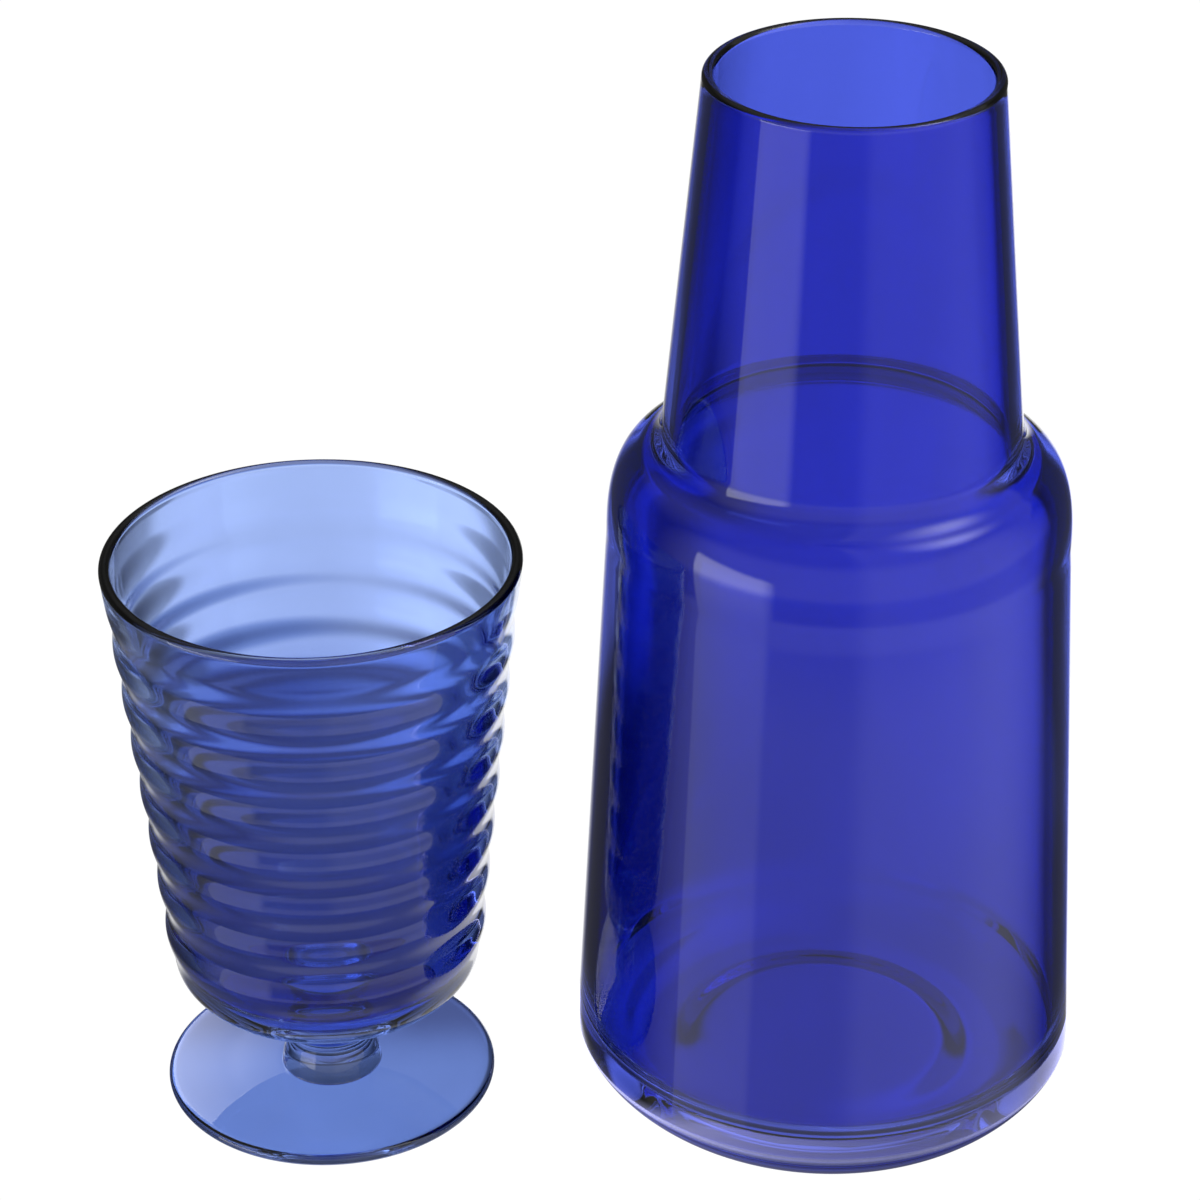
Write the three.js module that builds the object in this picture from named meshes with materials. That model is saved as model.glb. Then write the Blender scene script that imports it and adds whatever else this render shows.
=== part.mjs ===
// Glass carafe with a loose ribbed drinking glass on a short stem and a round foot.
// Millimetres, +Z up. The origin is on the table plane, under the middle of the pair.
import * as THREE from "three";

// ---- where the two vessels stand -------------------------------------------
const CARAFE_X = 47.8;
const GOBLET_X = -57.85;
const GOBLET_Y = -3.6;

// ---- carafe: outside --------------------------------------------------------
const LIP_R = 27.64; // middle of the rounded lip
const LIP_Z = 227.0;
const LIP_ROUND = 1.2; // half the lip's thickness
const NECK_FOOT_R = 36.2; // where the straight neck meets the shoulder
const NECK_FOOT_Z = 149.2;
const NECK_FILLET = 4.6;
const SHOULDER_R = 46.6; // where the shoulder has turned into the body
const SHOULDER_Z = 130.4;
const SHOULDER_POWER = 2.57;
const SHOULDER_END = 0.8; // the part of the rounding that is left below the fillet
const BODY_R = 52.5; // widest place, just above the base corner
const BODY_Z = 13.2;
const BASE_POWER = 1.43;
const STAND_R = 38.0; // outer edge of the flat ring the carafe stands on
const PUNT_RIM_R = 33.0; // inner edge of that ring
const PUNT_TOP_R = 24.0;
const PUNT_H = 2.6; // rise of the hollow under the base

// ---- carafe: inside ---------------------------------------------------------
const NECK_WALL = 2.6;
const SHOULDER_WALL = 3.4;
const BODY_WALL = 3.8;
const FLOOR_Z = 13.6;
const FLOOR_CORNER = 8.0;

// ---- goblet bowl ------------------------------------------------------------
const RIM_R = 41.25; // middle of the rounded rim
const RIM_Z = 125.35;
const RIM_ROUND = 1.2;
const WALL_R80 = 37.66; // radius over the ribs at a height of 80
const WALL_TAPER = 0.104;
const RIB_TOP_Z = 107.96; // crest of the highest rib
const RIB_PITCH = 11.227;
const RIB_COUNT = 7; // grooves between the ribs
const RIB_DEPTH = 0.75; // crest to groove
const RIB_INSIDE = 0.4; // how much of the ribs shows on the inside
const TOP_GROOVE = 0.6; // the groove under the rim is shallower
const FLARE = 0.22;
const FLARE_H = 12.0;
const BELLY_Z = 42.4; // where the side starts to turn under
const BELLY_R = 33.6;
const BELLY_POWER = 2.93;
const BOWL_BOTTOM_Z = 23.0;
const BOWL_SEAT_R = 9.6; // flat disc that sits on the stem
const BOWL_WALL = 2.8;
const BOWL_FLOOR_Z = 26.0;
const CAVITY_Z = 43.0; // where the inside starts to turn under
const CAVITY_R = 8.0; // flat middle of the inside's floor

// ---- goblet stem and foot ----------------------------------------------------
const STEM_FOOT_R = 10.6;
const STEM_WAIST_R = 8.9;
const FOOT_TOP_Z = 3.3;
const FOOT_R = 35.0;
const FOOT_EDGE_Z = 2.8; // height of the foot's upper edge

const CARAFE_SIDES = 40;
const GOBLET_SIDES = 40;

const v = (r, z) => new THREE.Vector2(r, z);
const clamp01 = (t) => Math.min(1, Math.max(0, t));
const smooth = (a, b, x) => {
  const t = clamp01((x - a) / (b - a));
  return t * t * (3 - 2 * t);
};
// n + 1 values from a to b
const steps = (a, b, n) =>
  Array.from({ length: n + 1 }, (_, i) => a + ((b - a) * i) / n);
// quarter of a superellipse; t runs from 0 at (r1, z0) to 1 at (r0, z1)
const corner = (r0, r1, z0, z1, power, t) => {
  const a = (t * Math.PI) / 2;
  const c = Math.max(0, Math.cos(a)) ** (2 / power);
  const s = Math.max(0, Math.sin(a)) ** (2 / power);
  return v(r0 + (r1 - r0) * c, z0 + (z1 - z0) * s);
};
const bezier = (a, b, c, n) =>
  steps(0, 1, n).map((t) =>
    v(
      (1 - t) ** 2 * a.x + 2 * t * (1 - t) * b.x + t * t * c.x,
      (1 - t) ** 2 * a.y + 2 * t * (1 - t) * b.y + t * t * c.y,
    ),
  );

// ---- carafe profile: from the middle of the underside, up the outside,
//      over the lip and down the inside to the middle of the floor --------------
// where a shoulder's end runs on straight to the neck, and the end of the fillet
function neckFillet(shoulder, footR, slope) {
  const end = shoulder(SHOULDER_END);
  const before = shoulder(SHOULDER_END - 0.002);
  const rise = (end.y - before.y) / (before.x - end.x);
  const r =
    (footR - slope * (end.y + rise * end.x - NECK_FOOT_Z)) / (1 - slope * rise);
  const z = end.y + rise * (end.x - r);
  return [v(r, z), v(r - slope * NECK_FILLET, z + NECK_FILLET)];
}
function carafeProfile() {
  const p = [];
  p.push(v(0, PUNT_H));
  for (const t of steps(0, 1, 4))
    p.push(
      v(
        PUNT_TOP_R + (PUNT_RIM_R - PUNT_TOP_R) * t,
        PUNT_H * (1 - smooth(0, 1, t)),
      ),
    );
  // base corner, from the standing ring out to the widest place
  for (const t of steps(1, 0, 7))
    p.push(corner(STAND_R, BODY_R, BODY_Z, 0, BASE_POWER, t));
  for (const t of steps(0, 1, 4).slice(1, -1))
    p.push(
      v(
        BODY_R + (SHOULDER_R - BODY_R) * t,
        BODY_Z + (SHOULDER_Z - BODY_Z) * t,
      ),
    );
  // shoulder, up to the fillet under the neck
  const outerShoulder = (t) =>
    corner(
      NECK_FOOT_R,
      SHOULDER_R,
      SHOULDER_Z,
      NECK_FOOT_Z,
      SHOULDER_POWER,
      t,
    );
  for (const t of steps(0, SHOULDER_END, 7)) p.push(outerShoulder(t));
  const neckSlope =
    (NECK_FOOT_R - LIP_R - LIP_ROUND) / (LIP_Z - NECK_FOOT_Z); // narrowing per mm of height
  const [meet, onNeck] = neckFillet(outerShoulder, NECK_FOOT_R, neckSlope);
  p.push(...bezier(p[p.length - 1], meet, onNeck, 4).slice(1));
  for (const t of steps(0, 1, 3).slice(1, -1))
    p.push(
      v(
        onNeck.x + (LIP_R + LIP_ROUND - onNeck.x) * t,
        onNeck.y + (LIP_Z - onNeck.y) * t,
      ),
    );
  for (const a of steps(0, Math.PI, 6))
    p.push(
      v(LIP_R + LIP_ROUND * Math.cos(a), LIP_Z + LIP_ROUND * Math.sin(a)),
    );
  // inside of the neck, the flare under it and the inside of the shoulder
  const innerNeckR = NECK_FOOT_R - NECK_WALL;
  const innerTop = NECK_FOOT_Z - SHOULDER_WALL;
  const innerShoulder = (t) =>
    corner(
      innerNeckR,
      SHOULDER_R - BODY_WALL,
      SHOULDER_Z - 1.0,
      innerTop,
      SHOULDER_POWER,
      t,
    );
  const innerSlope =
    (innerNeckR - LIP_R + LIP_ROUND) / (LIP_Z - NECK_FOOT_Z);
  const [innerMeet, inNeck] = neckFillet(innerShoulder, innerNeckR, innerSlope);
  for (const t of steps(0, 1, 3).slice(1, -1))
    p.push(
      v(
        LIP_R - LIP_ROUND + (inNeck.x - LIP_R + LIP_ROUND) * t,
        LIP_Z + (inNeck.y - LIP_Z) * t,
      ),
    );
  p.push(...bezier(inNeck, innerMeet, innerShoulder(SHOULDER_END), 4));
  p.push(...steps(SHOULDER_END, 0, 6).slice(1).map(innerShoulder));
  const innerBodyR = BODY_R - BODY_WALL;
  const wallEnd = FLOOR_Z + FLOOR_CORNER;
  for (const t of steps(0, 1, 4).slice(1, -1)) {
    const z = SHOULDER_Z - 1.0 + (wallEnd - SHOULDER_Z + 1.0) * t;
    p.push(v(innerBodyR + (SHOULDER_R - BODY_WALL - innerBodyR) * (1 - t), z));
  }
  for (const t of steps(0, 1, 6))
    p.push(
      corner(
        innerBodyR - FLOOR_CORNER,
        innerBodyR,
        wallEnd,
        FLOOR_Z,
        2.0,
        t,
      ),
    );
  p.push(v(0, FLOOR_Z));
  return p;
}

// ---- goblet bowl --------------------------------------------------------------
// radius over the ribs
const overRibs = (z) => {
  if (z >= BELLY_Z) return WALL_R80 + WALL_TAPER * (z - 80);
  const u = clamp01((BELLY_Z - z) / (BELLY_Z - BOWL_BOTTOM_Z));
  return (
    BOWL_SEAT_R +
    (WALL_R80 + WALL_TAPER * (BELLY_Z - 80) - BOWL_SEAT_R) *
      (1 - u ** BELLY_POWER) ** (1 / BELLY_POWER)
  );
};
// 0 on a crest, 1 at the bottom of a groove
const groove = (z) => {
  const low = RIB_TOP_Z - RIB_COUNT * RIB_PITCH;
  if (z <= low || z >= RIB_TOP_Z + RIB_PITCH) return 0;
  const c = Math.cos((2 * Math.PI * (z - RIB_TOP_Z)) / RIB_PITCH);
  return ((1 - c) / 2) * (z > RIB_TOP_Z ? TOP_GROOVE : 1);
};
const bowlOuter = (z) =>
  overRibs(z) -
  RIB_DEPTH * groove(z) -
  0.2 * RIB_DEPTH * smooth(RIB_TOP_Z, RIB_TOP_Z + 5, z) +
  FLARE * smooth(RIM_Z - FLARE_H, RIM_Z, z);

function bowlProfile() {
  const p = [v(0, BOWL_BOTTOM_Z), v(BOWL_SEAT_R, BOWL_BOTTOM_Z)];
  const low = RIB_TOP_Z - RIB_COUNT * RIB_PITCH;
  // underside: equal turns of the rounded corner
  for (const t of [0.9, 0.8, 0.68, 0.56, 0.44]) {
    const q = corner(
      BOWL_SEAT_R,
      BELLY_R,
      BELLY_Z,
      BOWL_BOTTOM_Z,
      BELLY_POWER,
      t,
    );
    if (q.y < low - 0.4) p.push(v(overRibs(q.y), q.y));
  }
  for (let i = 0; i < RIB_COUNT; i++)
    for (const s of [0, 0.25, 0.5, 0.75]) {
      const z = low + (i + s) * RIB_PITCH;
      p.push(v(bowlOuter(z), z));
    }
  for (const s of [0, 0.25, 0.5, 0.75, 1, 1.3]) {
    const z = RIB_TOP_Z + s * RIB_PITCH;
    p.push(v(bowlOuter(z), z));
  }
  for (const a of [-0.12, ...steps(0, Math.PI, 5)])
    p.push(
      v(RIM_R + RIM_ROUND * Math.cos(a), RIM_Z + RIM_ROUND * Math.sin(a)),
    );
  // inside
  const inner = (z) =>
    WALL_R80 +
    WALL_TAPER * (z - 80) -
    BOWL_WALL -
    RIB_INSIDE * RIB_DEPTH * (groove(z) - 0.5) +
    (RIM_R - RIM_ROUND - (WALL_R80 + WALL_TAPER * (RIM_Z - 80) - BOWL_WALL)) *
      smooth(RIM_Z - 12, RIM_Z, z);
  for (const s of [1.3, 1, 0.75, 0.5, 0.25]) {
    const z = RIB_TOP_Z + s * RIB_PITCH;
    p.push(v(inner(z), z));
  }
  for (const z of steps(RIB_TOP_Z, CAVITY_Z, 24).slice(0, -1))
    p.push(v(inner(z), z));
  for (const t of steps(0, 1, 8))
    p.push(
      corner(CAVITY_R, inner(CAVITY_Z), CAVITY_Z, BOWL_FLOOR_Z, BELLY_POWER, t),
    );
  p.push(v(0, BOWL_FLOOR_Z));
  return p;
}

// ---- goblet stem: short solid waist ----------------------------------------------
function stemProfile() {
  const p = [v(0, FOOT_TOP_Z), v(STEM_FOOT_R, FOOT_TOP_Z)];
  for (const t of steps(0, 1, 8).slice(1)) {
    const z = FOOT_TOP_Z + (BOWL_BOTTOM_Z - FOOT_TOP_Z) * t;
    const r =
      STEM_WAIST_R +
      (STEM_FOOT_R - STEM_WAIST_R) * (1 - smooth(0, 0.45, t)) +
      (BOWL_SEAT_R - STEM_WAIST_R) * smooth(0.6, 1, t);
    p.push(v(r, z));
  }
  p.push(v(0, BOWL_BOTTOM_Z));
  return p;
}

// ---- goblet foot: flat disc with a rounded edge --------------------------------------
function footProfile() {
  const p = [v(0, 0), v(FOOT_R - 1.6, 0)];
  for (const a of steps(-Math.PI / 2, Math.PI / 2, 6).slice(1))
    p.push(
      v(
        FOOT_R - 1.6 + 1.6 * Math.cos(a),
        FOOT_EDGE_Z / 2 + (FOOT_EDGE_Z / 2) * Math.sin(a),
      ),
    );
  p.push(v(22, FOOT_EDGE_Z + 0.15));
  p.push(v(STEM_FOOT_R, FOOT_TOP_Z));
  p.push(v(0, FOOT_TOP_Z));
  return p;
}

function turned(name, profile, sides, material) {
  const geometry = new THREE.LatheGeometry(profile, sides);
  geometry.rotateX(Math.PI / 2); // the profile's height becomes +Z
  const mesh = new THREE.Mesh(geometry, material);
  mesh.name = name;
  return mesh;
}

const cobalt = new THREE.MeshStandardMaterial({
  name: "cobalt_glass",
  color: 0x2c2f9e,
  roughness: 0.05,
  metalness: 0,
  transparent: true,
  opacity: 0.6,
});
const paleBlue = new THREE.MeshStandardMaterial({
  name: "blue_glass",
  color: 0x4c63b4,
  roughness: 0.05,
  metalness: 0,
  transparent: true,
  opacity: 0.5,
});
const paleBlueSolid = paleBlue.clone();
paleBlueSolid.opacity = 0.4;

const carafe = new THREE.Group();
carafe.position.set(CARAFE_X, 0, 0);
carafe.add(turned("carafe_vessel", carafeProfile(), CARAFE_SIDES, cobalt));

const goblet = new THREE.Group();
goblet.position.set(GOBLET_X, GOBLET_Y, 0);
goblet.add(turned("goblet_bowl", bowlProfile(), GOBLET_SIDES, paleBlue));
goblet.add(turned("goblet_stem", stemProfile(), GOBLET_SIDES, paleBlueSolid));
goblet.add(turned("goblet_foot", footProfile(), GOBLET_SIDES, paleBlueSolid));

const set = new THREE.Group();
set.add(carafe, goblet);
export default set;
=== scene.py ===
import math

import bpy
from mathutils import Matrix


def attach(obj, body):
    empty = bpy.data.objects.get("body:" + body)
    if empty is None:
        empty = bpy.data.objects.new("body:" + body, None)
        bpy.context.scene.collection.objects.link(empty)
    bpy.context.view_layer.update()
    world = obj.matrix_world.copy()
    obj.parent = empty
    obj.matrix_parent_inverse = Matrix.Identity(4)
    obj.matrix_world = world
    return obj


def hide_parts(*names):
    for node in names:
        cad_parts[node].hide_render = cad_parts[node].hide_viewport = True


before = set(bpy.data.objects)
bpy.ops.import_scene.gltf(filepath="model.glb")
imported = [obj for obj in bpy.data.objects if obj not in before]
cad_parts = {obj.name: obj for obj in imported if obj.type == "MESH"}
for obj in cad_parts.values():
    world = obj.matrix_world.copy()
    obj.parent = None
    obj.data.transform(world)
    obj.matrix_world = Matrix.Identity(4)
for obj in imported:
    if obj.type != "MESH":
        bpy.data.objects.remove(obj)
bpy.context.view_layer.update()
scene = bpy.context.scene
MM = 0.001

# ------------------------------------------------------------------ dimensions
# Millimetres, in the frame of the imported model.
CARAFE_X = 47.8
GOBLET_X, GOBLET_Y = -57.85, -3.6

# carafe, outside
LIP_R, LIP_Z, LIP_ROUND = 27.64, 227.0, 1.2
NECK_FOOT_R, NECK_FOOT_Z, NECK_FILLET = 36.2, 149.2, 4.6
SHOULDER_R, SHOULDER_Z, SHOULDER_POWER, SHOULDER_END = 46.6, 130.4, 2.57, 0.8
BODY_R, BODY_Z = 52.5, 13.2
BASE_POWER, STAND_R = 1.43, 38.0
PUNT_RIM_R, PUNT_TOP_R, PUNT_H = 33.0, 24.0, 2.6
# carafe, inside
NECK_WALL, SHOULDER_WALL, BODY_WALL = 2.6, 3.4, 3.8
FLOOR_Z, FLOOR_CORNER = 13.6, 8.0

# goblet bowl
RIM_R, RIM_Z, RIM_ROUND = 41.25, 125.35, 1.2
WALL_R80, WALL_TAPER = 37.66, 0.104
RIB_TOP_Z, RIB_PITCH, RIB_COUNT = 107.96, 11.227, 7
RIB_DEPTH, RIB_INSIDE, TOP_GROOVE = 0.75, 0.4, 0.6
FLARE, FLARE_H = 0.22, 12.0
BELLY_Z, BELLY_POWER = 42.4, 2.93
BOWL_BOTTOM_Z, BOWL_SEAT_R = 23.0, 9.6
BOWL_WALL, BOWL_FLOOR_Z = 2.8, 26.0
CAVITY_Z, CAVITY_R = 43.0, 8.0
# goblet stem and foot
STEM_FOOT_R, STEM_WAIST_R = 10.6, 8.9
FOOT_TOP_Z, FOOT_R, FOOT_EDGE_Z = 3.3, 35.0, 2.8


def clamp01(t):
    return min(1.0, max(0.0, t))


def smooth(a, b, x):
    t = clamp01((x - a) / (b - a))
    return t * t * (3 - 2 * t)


def steps(a, b, n):
    return [a + (b - a) * i / n for i in range(n + 1)]


def corner(r0, r1, z0, z1, power, t):
    """Quarter of a superellipse: t = 0 at (r1, z0), t = 1 at (r0, z1)."""
    a = t * math.pi / 2
    c = max(0.0, math.cos(a)) ** (2 / power)
    s = max(0.0, math.sin(a)) ** (2 / power)
    return (r0 + (r1 - r0) * c, z0 + (z1 - z0) * s)


def bezier(a, b, c, n):
    return [
        (
            (1 - t) ** 2 * a[0] + 2 * t * (1 - t) * b[0] + t * t * c[0],
            (1 - t) ** 2 * a[1] + 2 * t * (1 - t) * b[1] + t * t * c[1],
        )
        for t in steps(0, 1, n)
    ]


def line(a, b, n):
    return [(a[0] + (b[0] - a[0]) * t, a[1] + (b[1] - a[1]) * t) for t in steps(0, 1, n)]


def tidy(profile, least=0.02):
    """Drops points that fall on the one before."""
    out = [profile[0]]
    for p in profile[1:]:
        if math.hypot(p[0] - out[-1][0], p[1] - out[-1][1]) > least:
            out.append(p)
    return out


def neck_fillet(shoulder, foot_r, slope):
    """Where a shoulder's end runs on straight to the neck, and the end of the fillet up the neck."""
    r, z = shoulder(SHOULDER_END)
    r_before, z_before = shoulder(SHOULDER_END - 0.002)
    rise = (z - z_before) / (r_before - r)
    meet_r = (foot_r - slope * (z + rise * r - NECK_FOOT_Z)) / (1 - slope * rise)
    meet_z = z + rise * (r - meet_r)
    return (meet_r, meet_z), (meet_r - slope * NECK_FILLET, meet_z + NECK_FILLET)


def carafe_profile():
    p = [(0.0, PUNT_H)]
    p += line((6, PUNT_H), (PUNT_TOP_R, PUNT_H), 4)
    for t in steps(0, 1, 24):
        p.append((PUNT_TOP_R + (PUNT_RIM_R - PUNT_TOP_R) * t, PUNT_H * (1 - smooth(0, 1, t))))
    p += line((PUNT_RIM_R, 0), (STAND_R, 0), 6)
    for t in steps(1, 0, 44):
        p.append(corner(STAND_R, BODY_R, BODY_Z, 0, BASE_POWER, t))
    p += line((BODY_R, BODY_Z), (SHOULDER_R, SHOULDER_Z), 40)

    def outer_shoulder(t):
        return corner(NECK_FOOT_R, SHOULDER_R, SHOULDER_Z, NECK_FOOT_Z, SHOULDER_POWER, t)

    p += [outer_shoulder(t) for t in steps(0, SHOULDER_END, 48)]
    slope = (NECK_FOOT_R - LIP_R - LIP_ROUND) / (LIP_Z - NECK_FOOT_Z)
    meet, on_neck = neck_fillet(outer_shoulder, NECK_FOOT_R, slope)
    p += bezier(p[-1], meet, on_neck, 24)
    p += line(on_neck, (LIP_R + LIP_ROUND, LIP_Z), 30)
    for a in steps(0, math.pi, 28):
        p.append((LIP_R + LIP_ROUND * math.cos(a), LIP_Z + LIP_ROUND * math.sin(a)))
    inner_neck = NECK_FOOT_R - NECK_WALL
    inner_top = NECK_FOOT_Z - SHOULDER_WALL

    def inner_shoulder(t):
        return corner(inner_neck, SHOULDER_R - BODY_WALL, SHOULDER_Z - 1.0, inner_top, SHOULDER_POWER, t)

    slope = (inner_neck - LIP_R + LIP_ROUND) / (LIP_Z - NECK_FOOT_Z)
    meet, in_neck = neck_fillet(inner_shoulder, inner_neck, slope)
    p += line((LIP_R - LIP_ROUND, LIP_Z), in_neck, 30)
    p += bezier(in_neck, meet, inner_shoulder(SHOULDER_END), 24)
    p += [inner_shoulder(t) for t in steps(SHOULDER_END, 0, 44)]
    inner_body = BODY_R - BODY_WALL
    wall_end = FLOOR_Z + FLOOR_CORNER
    p += line((SHOULDER_R - BODY_WALL, SHOULDER_Z - 1.0), (inner_body, wall_end), 40)
    for t in steps(0, 1, 30):
        p.append(corner(inner_body - FLOOR_CORNER, inner_body, wall_end, FLOOR_Z, 2.0, t))
    p += line((inner_body - FLOOR_CORNER, FLOOR_Z), (6, FLOOR_Z), 10)
    p.append((0.0, FLOOR_Z))
    return tidy(p)


def over_ribs(z):
    if z >= BELLY_Z:
        return WALL_R80 + WALL_TAPER * (z - 80)
    u = clamp01((BELLY_Z - z) / (BELLY_Z - BOWL_BOTTOM_Z))
    belly = WALL_R80 + WALL_TAPER * (BELLY_Z - 80)
    return BOWL_SEAT_R + (belly - BOWL_SEAT_R) * (1 - u**BELLY_POWER) ** (1 / BELLY_POWER)


def groove(z):
    """0 on a crest, 1 at the bottom of a groove; the groove under the rim is shallower."""
    low = RIB_TOP_Z - RIB_COUNT * RIB_PITCH
    if z <= low or z >= RIB_TOP_Z + RIB_PITCH:
        return 0.0
    c = math.cos(2 * math.pi * (z - RIB_TOP_Z) / RIB_PITCH)
    return (1 - c) / 2 * (TOP_GROOVE if z > RIB_TOP_Z else 1.0)


def bowl_outer(z):
    return (
        over_ribs(z)
        - RIB_DEPTH * groove(z)
        - 0.2 * RIB_DEPTH * smooth(RIB_TOP_Z, RIB_TOP_Z + 5, z)
        + FLARE * smooth(RIM_Z - FLARE_H, RIM_Z, z)
    )


def bowl_inner(z):
    wall = WALL_R80 + WALL_TAPER * (z - 80) - BOWL_WALL
    wall -= RIB_INSIDE * RIB_DEPTH * (groove(z) - 0.5)
    at_rim = WALL_R80 + WALL_TAPER * (RIM_Z - 80) - BOWL_WALL
    return wall + (RIM_R - RIM_ROUND - at_rim) * smooth(RIM_Z - 12, RIM_Z, z)


def goblet_profile():
    """One continuous skin: foot, stem and bowl are fused glass."""
    p = [(0.0, 0.0)]
    p += line((6, 0), (FOOT_R - 1.6, 0), 8)
    for a in steps(-math.pi / 2, math.pi / 2, 28):
        p.append((FOOT_R - 1.6 + 1.6 * math.cos(a), FOOT_EDGE_Z / 2 * (1 + math.sin(a))))
    p += line((FOOT_R - 1.6, FOOT_EDGE_Z), (22, FOOT_EDGE_Z + 0.15), 8)
    p += line((22, FOOT_EDGE_Z + 0.15), (STEM_FOOT_R + 0.15, FOOT_TOP_Z), 8)
    for t in steps(0, 1, 40):
        z = FOOT_TOP_Z + (BOWL_BOTTOM_Z - FOOT_TOP_Z) * t
        r = (
            STEM_WAIST_R
            + (STEM_FOOT_R - STEM_WAIST_R) * (1 - smooth(0, 0.45, t))
            + (BOWL_SEAT_R - STEM_WAIST_R) * smooth(0.6, 1, t)
        )
        p.append((r, z))
    low = RIB_TOP_Z - RIB_COUNT * RIB_PITCH
    belly = WALL_R80 + WALL_TAPER * (BELLY_Z - 80)
    for t in steps(1, 0, 90):
        r, z = corner(BOWL_SEAT_R, belly, BELLY_Z, BOWL_BOTTOM_Z, BELLY_POWER, t)
        if z < low - 0.2:
            p.append((r, z))
    for z in steps(low, RIB_TOP_Z, RIB_COUNT * 22):
        p.append((bowl_outer(z), z))
    for z in steps(RIB_TOP_Z, RIM_Z - 0.5, 44)[1:]:
        p.append((bowl_outer(z), z))
    for a in steps(-0.2, math.pi, 28):
        p.append((RIM_R + RIM_ROUND * math.cos(a), RIM_Z + RIM_ROUND * math.sin(a)))
    for z in steps(RIM_Z, CAVITY_Z, 150)[1:]:
        p.append((bowl_inner(z), z))
    for t in steps(0, 1, 60):
        p.append(corner(CAVITY_R, bowl_inner(CAVITY_Z), CAVITY_Z, BOWL_FLOOR_Z, BELLY_POWER, t))
    p += line((CAVITY_R, BOWL_FLOOR_Z), (0.0, BOWL_FLOOR_Z), 6)
    return tidy(p)


def turned(name, profile, centre, sides):
    """A closed mesh of revolution; the profile runs from the axis to the axis, outside first."""
    verts, rings = [], []
    for r, z in profile:
        if r < 1e-6:
            rings.append([len(verts)])
            verts.append((centre[0] * MM, centre[1] * MM, z * MM))
            continue
        ring = []
        for k in range(sides):
            a = 2 * math.pi * k / sides
            ring.append(len(verts))
            verts.append(((centre[0] + r * math.cos(a)) * MM, (centre[1] + r * math.sin(a)) * MM, z * MM))
        rings.append(ring)
    faces = []
    for lower, upper in zip(rings, rings[1:]):
        for k in range(sides):
            m = (k + 1) % sides
            if len(lower) == 1:
                faces.append((lower[0], upper[m], upper[k]))
            elif len(upper) == 1:
                faces.append((lower[k], lower[m], upper[0]))
            else:
                faces.append((lower[k], lower[m], upper[m], upper[k]))
    mesh = bpy.data.meshes.new(name)
    mesh.from_pydata(verts, [], faces)
    mesh.validate()
    mesh.shade_smooth()
    obj = bpy.data.objects.new(name, mesh)
    scene.collection.objects.link(obj)
    return obj


# ------------------------------------------------------------------ materials
def glass(name, stops, seed):
    """Clear coloured glass: stops give the colour of one wall at heights above the table."""
    m = bpy.data.materials.new(name)
    m.use_nodes = True
    nt = m.node_tree
    nt.nodes.clear()
    out = nt.nodes.new("ShaderNodeOutputMaterial")
    b = nt.nodes.new("ShaderNodeBsdfPrincipled")
    b.inputs["Transmission Weight"].default_value = 1.0
    b.inputs["IOR"].default_value = 1.5
    nt.links.new(b.outputs["BSDF"], out.inputs["Surface"])

    # the colour of one wall changes with height above the table, as the stops give it
    coord = nt.nodes.new("ShaderNodeTexCoord")
    split = nt.nodes.new("ShaderNodeSeparateXYZ")
    nt.links.new(coord.outputs["Object"], split.inputs[0])
    height = nt.nodes.new("ShaderNodeMapRange")
    height.inputs["From Min"].default_value = 0.0
    height.inputs["From Max"].default_value = stops[-1][0] * MM
    nt.links.new(split.outputs[2], height.inputs["Value"])
    ramp = nt.nodes.new("ShaderNodeValToRGB")
    while len(ramp.color_ramp.elements) < len(stops):
        ramp.color_ramp.elements.new(0.5)
    for e, (z, colour) in zip(ramp.color_ramp.elements, stops):
        e.position = z / stops[-1][0]
        e.color = (*colour, 1)
    nt.links.new(height.outputs["Result"], ramp.inputs["Fac"])

    # faint cords in the glass: uneven colour, and a surface that is not quite true
    stretch = nt.nodes.new("ShaderNodeMapping")
    stretch.inputs["Location"].default_value = (seed, 2 * seed, 0)
    stretch.inputs["Scale"].default_value = (1, 1, 0.35)
    nt.links.new(coord.outputs["Object"], stretch.inputs["Vector"])
    cords = nt.nodes.new("ShaderNodeTexNoise")
    cords.inputs["Scale"].default_value = 42.0
    cords.inputs["Detail"].default_value = 2.0
    nt.links.new(stretch.outputs[0], cords.inputs["Vector"])
    depth = nt.nodes.new("ShaderNodeMapRange")
    depth.inputs["From Min"].default_value = 0.3
    depth.inputs["From Max"].default_value = 0.7
    depth.inputs["To Min"].default_value = 0.95
    depth.inputs["To Max"].default_value = 1.05
    nt.links.new(cords.outputs[0], depth.inputs["Value"])
    tint = nt.nodes.new("ShaderNodeVectorMath")
    tint.operation = "SCALE"
    nt.links.new(ramp.outputs["Color"], tint.inputs[0])
    nt.links.new(depth.outputs["Result"], tint.inputs["Scale"])
    nt.links.new(tint.outputs[0], b.inputs["Base Color"])
    bump = nt.nodes.new("ShaderNodeBump")
    bump.inputs["Strength"].default_value = 0.12
    bump.inputs["Distance"].default_value = 0.0004
    nt.links.new(cords.outputs[0], bump.inputs["Height"])
    nt.links.new(bump.outputs[0], b.inputs["Normal"])
    polish = nt.nodes.new("ShaderNodeMapRange")
    polish.inputs["From Min"].default_value = 0.45
    polish.inputs["From Max"].default_value = 0.75
    polish.inputs["To Min"].default_value = 0.0
    polish.inputs["To Max"].default_value = 0.02
    nt.links.new(cords.outputs[0], polish.inputs["Value"])
    nt.links.new(polish.outputs["Result"], b.inputs["Roughness"])
    return m


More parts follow.
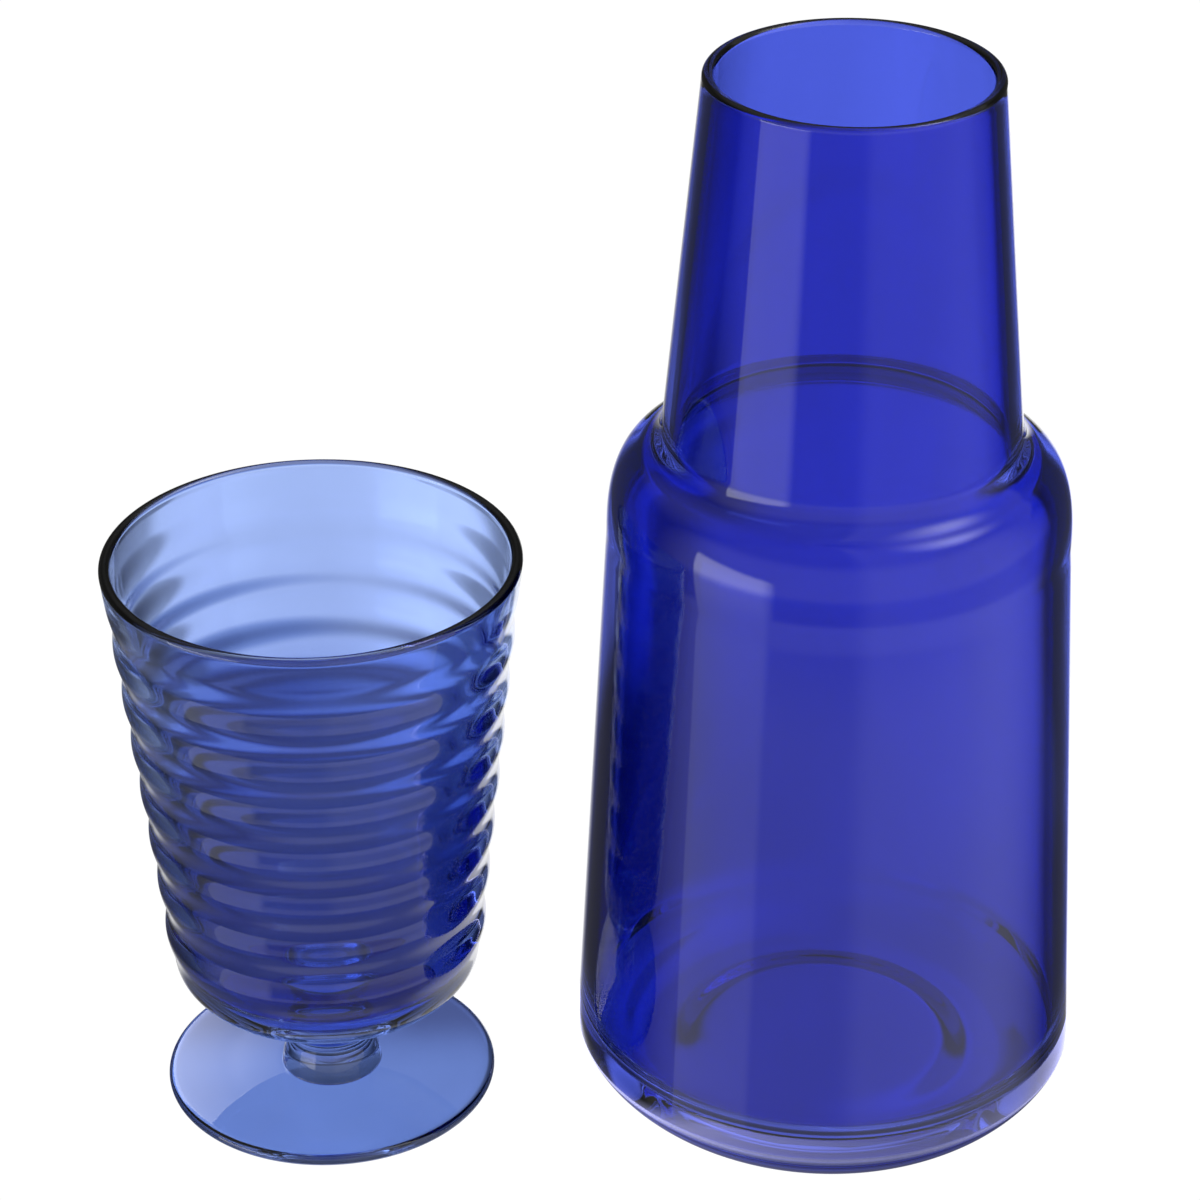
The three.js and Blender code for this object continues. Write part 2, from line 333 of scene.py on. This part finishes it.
cobalt = glass(
    "cobalt_glass",
    [(0, (0.069, 0.105, 0.655)), (150, (0.069, 0.105, 0.655)), (228, (0.069, 0.105, 0.655))],
    1.0,
)
pale = glass(
    "blue_glass",
    [(0, (0.15, 0.25, 0.70)), (20, (0.16, 0.27, 0.72)), (28, (0.115, 0.19, 0.60)), (66, (0.135, 0.21, 0.58)), (90, (0.28, 0.385, 0.74)), (126, (0.31, 0.42, 0.765))],
    2.0,
)

carafe = turned("carafe", carafe_profile(), (CARAFE_X, 0.0), 240)
carafe.data.materials.append(cobalt)
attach(carafe, "carafe")
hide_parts("carafe_vessel")

goblet = turned("goblet", goblet_profile(), (GOBLET_X, GOBLET_Y), 240)
goblet.data.materials.append(pale)
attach(goblet, "goblet")
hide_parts("goblet_bowl", "goblet_stem", "goblet_foot")

# ------------------------------------------------------------------ stage
class Field:
    """A number in a node tree, with arithmetic that adds Math nodes."""

    def __init__(self, tree, value):
        self.tree, self.value = tree, value

    def _node(self, op, *args):
        n = self.tree.nodes.new("ShaderNodeMath")
        n.operation = op
        for i, x in enumerate(args):
            x = x.value if isinstance(x, Field) else x
            if isinstance(x, (int, float)):
                n.inputs[i].default_value = x
            else:
                self.tree.links.new(x, n.inputs[i])
        return Field(self.tree, n.outputs[0])

    def __add__(self, o):
        return self._node("ADD", self, o)

    __radd__ = __add__

    def __sub__(self, o):
        return self._node("SUBTRACT", self, o)

    def __rsub__(self, o):
        return self._node("SUBTRACT", o, self)

    def __mul__(self, o):
        return self._node("MULTIPLY", self, o)

    __rmul__ = __mul__

    def __truediv__(self, o):
        return self._node("DIVIDE", self, o)

    def call(self, op, *args):
        return self._node(op, self, *args)

    def step(self, a, b):
        """0 at a, 1 at b, smooth between."""
        n = self.tree.nodes.new("ShaderNodeMapRange")
        n.interpolation_type = "SMOOTHSTEP"
        n.inputs["From Min"].default_value = a
        n.inputs["From Max"].default_value = b
        self.tree.links.new(self.value, n.inputs["Value"])
        return Field(self.tree, n.outputs["Result"])

    def between(self, a0, a1, b0, b1):
        """0 to 1 from a0 to a1, back to 0 from b0 to b1."""
        return self.step(a0, a1) * (1 - self.step(b0, b1))


def plane(name, size, z):
    me = bpy.data.meshes.new(name)
    me.from_pydata([(-size, -size, 0), (size, -size, 0), (size, size, 0), (-size, size, 0)], [], [(0, 1, 2, 3)])
    ob = bpy.data.objects.new(name, me)
    ob.location.z = z
    scene.collection.objects.link(ob)
    m = bpy.data.materials.new(name)
    m.use_nodes = True
    m.node_tree.nodes.clear()
    out = m.node_tree.nodes.new("ShaderNodeOutputMaterial")
    em = m.node_tree.nodes.new("ShaderNodeEmission")
    m.node_tree.links.new(em.outputs[0], out.inputs["Surface"])
    me.materials.append(m)
    return ob, m.node_tree, em


# the plain white floor
floor, _, floor_light = plane("floor", 6.0, -0.0004)
floor_light.inputs["Strength"].default_value = 1.02
floor.visible_glossy = False
floor.visible_transmission = False

# painted light and shade on a floor that only the glass sees: painted shadows and brighter patches around the
# objects, which show through the glass
card, ct, card_light = plane("lit_floor", 6.0, -0.0003)
card.visible_camera = False
card.visible_glossy = False
spot = ct.nodes.new("ShaderNodeTexCoord")
parts = ct.nodes.new("ShaderNodeSeparateXYZ")
ct.links.new(spot.outputs["Object"], parts.inputs[0])
fx, fy = Field(ct, parts.outputs[0]) * 1000, Field(ct, parts.outputs[1]) * 1000


def shade(cx, cy, r0, r1, stretch=1.0):
    """1 within r0 of a place on the floor, 0 beyond r1: a round patch for painted shade and painted light."""
    u = fx - cx
    v = (fy - cy) * (1 / stretch)
    return 1 - (u * u + v * v).call("SQRT").step(r0, r1)


# painted shade: the floor darker around the carafe and in a band behind the gap between the two objects
lit = 1.0 - 0.28 * shade(CARAFE_X + 8, 30, 30, 170, 1.3)
lit = lit * (1 - 0.5 * fx.between(-30, -10, 4, 30) * fy.between(10, 50, 330, 420))
# the goblet's own blue shadow, painted on this floor
shadow = fx.between(-150, -120, -24, -6) * fy.between(-6, 14, 136, 168)
# a painted dark spot behind and to the left of the goblet, seen through its inside
side_shadow = shade(-94, 160, 14, 42)
# painted pool of light: brighter floor further back, seen through the goblet's inside
glow_edge = fx + 0.2 * (fy - 220)
glow = glow_edge.between(-128, -120, -24, -14) * fy.between(150, 205, 330, 420)
glow = glow * (0.5 + 0.5 * ((fx + 78).call("ABSOLUTE")).step(6, 40))
# colour of the painted shade, which takes less of the blue away
painted_shade_colour = ct.nodes.new("ShaderNodeCombineColor")
for i, (loss, side_loss) in enumerate(((0.42, 0.55), (0.45, 0.45), (0.38, 0.22))):
    ct.links.new((lit * (1 - loss * shadow) * (1 - side_loss * side_shadow)).value, painted_shade_colour.inputs[i])
# painted light on the floor under the front of the goblet's foot
painted_foot_glow = shade(GOBLET_X, GOBLET_Y, 31, 38) * (1 - fy.step(0, 16))
# painted light: the open floor to the sides and in front made brighter
painted_open_floor_light = (1 - shade(0, 0, 170, 280)) * (1 - fy.step(40, 120))
# glow of the painted pools of light, with one more brighter patch far behind the goblet
ct.links.new((0.5 * glow + 0.2 * painted_foot_glow + 0.6 * painted_open_floor_light + 0.15 * fy.between(150, 185, 420, 500) * fx.between(-150, -120, -20, 0)).value, card_light.inputs["Strength"])
# the painted shade darkens what shows through this floor
painted_shade_veil = ct.nodes.new("ShaderNodeBsdfTransparent")
ct.links.new(painted_shade_colour.outputs[0], painted_shade_veil.inputs["Color"])
both = ct.nodes.new("ShaderNodeAddShader")
ct.links.new(painted_shade_veil.outputs[0], both.inputs[0])
ct.links.new(card_light.outputs[0], both.inputs[1])
ct.links.new(both.outputs[0], ct.nodes["Material Output"].inputs["Surface"])

# painted reflection in the carafe's foot: a card seen only in reflections shorter than 34 mm, glowing like the
# floor close to the carafe lit from the left
near, nt, near_light = plane("near_floor", 0.3, -0.0002)
near.visible_camera = False
near.visible_transmission = False
spot = nt.nodes.new("ShaderNodeTexCoord")
parts = nt.nodes.new("ShaderNodeSeparateXYZ")
nt.links.new(spot.outputs["Object"], parts.inputs[0])
nx, ny = Field(nt, parts.outputs[0]) * 1000, Field(nt, parts.outputs[1]) * 1000
trip = nt.nodes.new("ShaderNodeLightPath")
reach = Field(nt, trip.outputs["Ray Length"]) * 1000
out_x = nx - CARAFE_X
distance = (out_x * out_x + ny * ny).call("SQRT")
close = (1 - reach.step(33.6, 34.6)) * nx.between(-14, 4, 130, 150)
# painted light falling off to the right, with painted shade under the carafe's base
painted_base_light_and_shade = 4.3 * (nx * (-1 / 110)).call("EXPONENT") * (0.06 + 0.94 * distance.step(49, 57))
near_light.inputs["Color"].default_value = (0.56, 0.57, 1.0, 1)
nt.links.new((1.7 * painted_base_light_and_shade * close).value, near_light.inputs["Strength"])
clear = nt.nodes.new("ShaderNodeBsdfTransparent")
nt.links.new((1 - close).value, clear.inputs["Color"])
both = nt.nodes.new("ShaderNodeAddShader")
nt.links.new(clear.outputs[0], both.inputs[0])
nt.links.new(near_light.outputs[0], both.inputs[1])
nt.links.new(both.outputs[0], nt.nodes["Material Output"].inputs["Surface"])

# a light card above and behind the goblet, which shows in the top of its foot
high, ht, high_light = plane("foot_light", 0.3, 0.1)
high.visible_camera = False
high.visible_transmission = False
spot = ht.nodes.new("ShaderNodeTexCoord")
parts = ht.nodes.new("ShaderNodeSeparateXYZ")
ht.links.new(spot.outputs["Object"], parts.inputs[0])
hx, hy = Field(ht, parts.outputs[0]) * 1000, Field(ht, parts.outputs[1]) * 1000
facing = ht.nodes.new("ShaderNodeNewGeometry")
under = Field(ht, facing.outputs["Backfacing"])
lamp = hx.between(-220, -200, -125, -75) * hy.between(60, 75, 200, 220) * under
ht.links.new((4.2 * lamp).value, high_light.inputs["Strength"])
clear = ht.nodes.new("ShaderNodeBsdfTransparent")
ht.links.new((1 - lamp).value, clear.inputs["Color"])
both = ht.nodes.new("ShaderNodeAddShader")
ht.links.new(clear.outputs[0], both.inputs[0])
ht.links.new(high_light.outputs[0], both.inputs[1])
ht.links.new(both.outputs[0], ht.nodes["Material Output"].inputs["Surface"])

world = bpy.data.worlds.new("studio")
scene.world = world
world.use_nodes = True
wn = world.node_tree
wn.nodes.clear()
coord = wn.nodes.new("ShaderNodeTexCoord")
split = wn.nodes.new("ShaderNodeSeparateXYZ")
wn.links.new(coord.outputs["Generated"], split.inputs[0])
dx, dy, dz = (Field(wn, split.outputs[i]) for i in range(3))
DEG = 180 / math.pi
az = dx.call("ARCTAN2", dy * -1) * DEG  # 0 towards the camera, positive to the right
el = dz.call("ARCSINE") * DEG
turn = az + 360 * (1 - az.step(-0.01, 0.01))  # 0 to 360, 180 is behind the objects

# the ground close to the objects, and the bright ground behind them
side = 0.2 + 0.12 * az.step(-75, -50) + 0.65 * az.step(75, 120) + 0.8 * (1 - az.step(-165, -140))
ground = (1 - el.step(-38, -33)) * side
behind = turn.between(154, 162, 186, 206) * (1 - el.step(-12, 2))
behind = behind * (1.55 - 0.03 * (turn - 160))
# the front of the room, dim to the sides
dip = el.step(-26, -23) * (1 - el.step(-12, -5))
front = az.between(-110, -62, 72, 130) * el.step(-38, -33)
front = front * (0.8 + 0.3 * az.step(2, 16) - 0.38 * dip - 0.35 * el.step(25, 45))
# a tall softbox to the left of the camera, with a slanted top edge
key_top = el + 0.18 * (az + 50)
key = az.between(-76, -74, -40, -29) * (1 - key_top.step(3.5, 10)) * el.step(-38, -34)
key_level = 1.15 + 0.3 * el.step(-28, -16) + 2.4 * el.step(-13, -5)
# a wide softbox overhead on the right, brightest towards the back
over_x = dx / dz
over_y = dy / dz
wide = el.step(8, 10) * over_x.between(-0.2, -0.1, 3.2, 4.2) * (over_y - 0.4 * over_x).step(-2.2, -2.0) * (1 - over_y.step(0.9, 1.2))
hot_x, hot_y = over_x - 0.64, over_y - 0.04
hot = ((hot_x * hot_x + hot_y * hot_y) * (-1 / 0.08)).call("EXPONENT")
top = el.step(8, 60)

path = wn.nodes.new("ShaderNodeLightPath")
glossy = Field(wn, path.outputs["Is Glossy Ray"])
below = (1 - el.step(-68, -56)) * 0.75
level = 0.08 + 0.92 * ground
for more in (below, behind, front, key * key_level, wide * (0.45 + 4.0 * hot) * glossy, top * (0.2 + 0.2 * glossy)):
    level = level.call("MAXIMUM", more)
seen = Field(wn, path.outputs["Is Camera Ray"])
level = level * (1 - seen) + 1.02 * seen

bg = wn.nodes.new("ShaderNodeBackground")
bg.inputs["Color"].default_value = (1, 1, 1, 1)
wn.links.new(level.value, bg.inputs["Strength"])
wo = wn.nodes.new("ShaderNodeOutputWorld")
wn.links.new(bg.outputs[0], wo.inputs["Surface"])

cam_data = bpy.data.cameras.new("camera")
cam_data.sensor_width = 36.0
cam_data.sensor_fit = "HORIZONTAL"
cam_data.lens = 115.65
cam_data.clip_start = 0.01
cam = bpy.data.objects.new("camera", cam_data)
cam.location = (-0.06 * MM, -679.82 * MM, 497.33 * MM)
cam.rotation_euler = (math.radians(60.588), 0, 0)
scene.collection.objects.link(cam)
scene.camera = cam

scene.view_settings.view_transform = "Standard"
scene.view_settings.look = "None"
scene.cycles.max_bounces = 32
scene.cycles.transmission_bounces = 32
scene.cycles.glossy_bounces = 16
scene.cycles.transparent_max_bounces = 16
